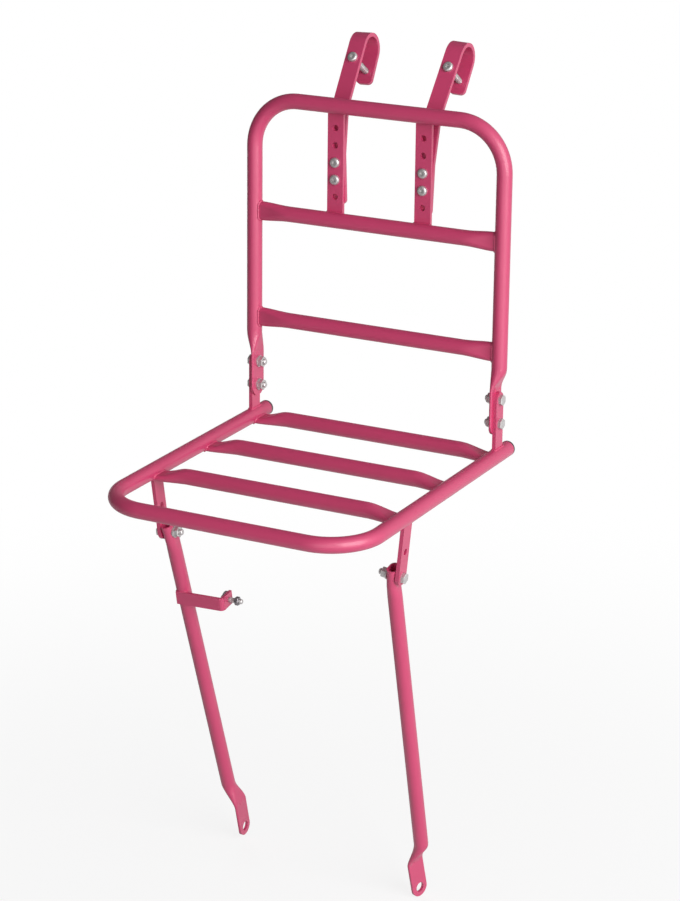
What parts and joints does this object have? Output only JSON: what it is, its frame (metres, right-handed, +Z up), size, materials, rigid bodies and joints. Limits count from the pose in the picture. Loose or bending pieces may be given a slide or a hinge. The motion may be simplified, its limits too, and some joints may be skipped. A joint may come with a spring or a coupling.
{
  "type": "bicycle front carrier",
  "caption": "Tubular front carrier for a bicycle: a flat load platform and back frame that hang from handlebar hooks and stand on hinged legs to the front axle.",
  "frame": {"origin": "middle of the load platform between its side tubes and between its front tube and rear bar, level with the tops of the tubes", "axes": "+Z up, -Y to the front of the bicycle, +X to the right as seen from the front"},
  "size_m": [0.3, 0.4142, 0.854],
  "materials": {
    "pink_paint": "glossy raspberry pink powder coat over steel tube and flat bar",
    "zinc_fastener": "bright zinc plate",
    "dark_fastener": "dark zinc plate",
    "black_plastic": "moulded, slightly grained"
  },
  "bodies": {
    "carrier": {"back_cross_tube_lower": "pink_paint", "back_cross_tube_upper": "pink_paint", "back_frame_tube": "pink_paint", "hook_clamp_nut_left": "zinc_fastener", "hook_clamp_nut_right": "zinc_fastener", "hook_clamp_screw_left": "zinc_fastener", "hook_clamp_screw_right": "zinc_fastener", "hook_strap_left": "pink_paint", "hook_strap_nuts_left": "zinc_fastener", "hook_strap_nuts_right": "zinc_fastener", "hook_strap_right": "pink_paint", "hook_strap_screws_left": "zinc_fastener", "hook_strap_screws_right": "zinc_fastener", "hook_upright_left": "pink_paint", "hook_upright_right": "pink_paint", "joint_bolts_left": "zinc_fastener", "joint_bolts_right": "zinc_fastener", "joint_nuts_left": "zinc_fastener", "joint_nuts_right": "zinc_fastener", "joint_washers_left": "zinc_fastener", "joint_washers_right": "zinc_fastener", "leg_pivot_bolt_left": "zinc_fastener", "leg_pivot_bolt_right": "zinc_fastener", "leg_pivot_nut_left": "zinc_fastener", "leg_pivot_nut_right": "zinc_fastener", "leg_pivot_washer_left": "zinc_fastener", "leg_pivot_washer_right": "zinc_fastener", "leg_tab_left": "pink_paint", "leg_tab_right": "pink_paint", "platform_bar_front": "pink_paint", "platform_bar_middle": "pink_paint", "platform_bar_rear": "pink_paint", "platform_end_plug_left": "black_plastic", "platform_end_plug_right": "black_plastic", "platform_tube": "pink_paint", "rear_tab_left": "pink_paint", "rear_tab_right": "pink_paint"},
    "leg_left_body": {"leg_left": "pink_paint", "lamp_bracket": "pink_paint", "lamp_bolt": "zinc_fastener", "lamp_washer": "dark_fastener", "lamp_nut": "dark_fastener"},
    "leg_right_body": {"leg_right": "pink_paint"}
  },
  "joints": [
    {"name": "leg_left_pivot", "type": "hinge", "parent": "carrier", "child": "leg_left_body", "pos_m": [-0.12714, -0.044, -0.07173], "axis": [0.9936, 0, 0.1132], "range_deg": [-76, 73.5]},
    {"name": "leg_right_pivot", "type": "hinge", "parent": "carrier", "child": "leg_right_body", "pos_m": [0.12714, -0.044, -0.07173], "axis": [0.9936, 0, -0.1132], "range_deg": [-72.5, 77]}
  ]
}
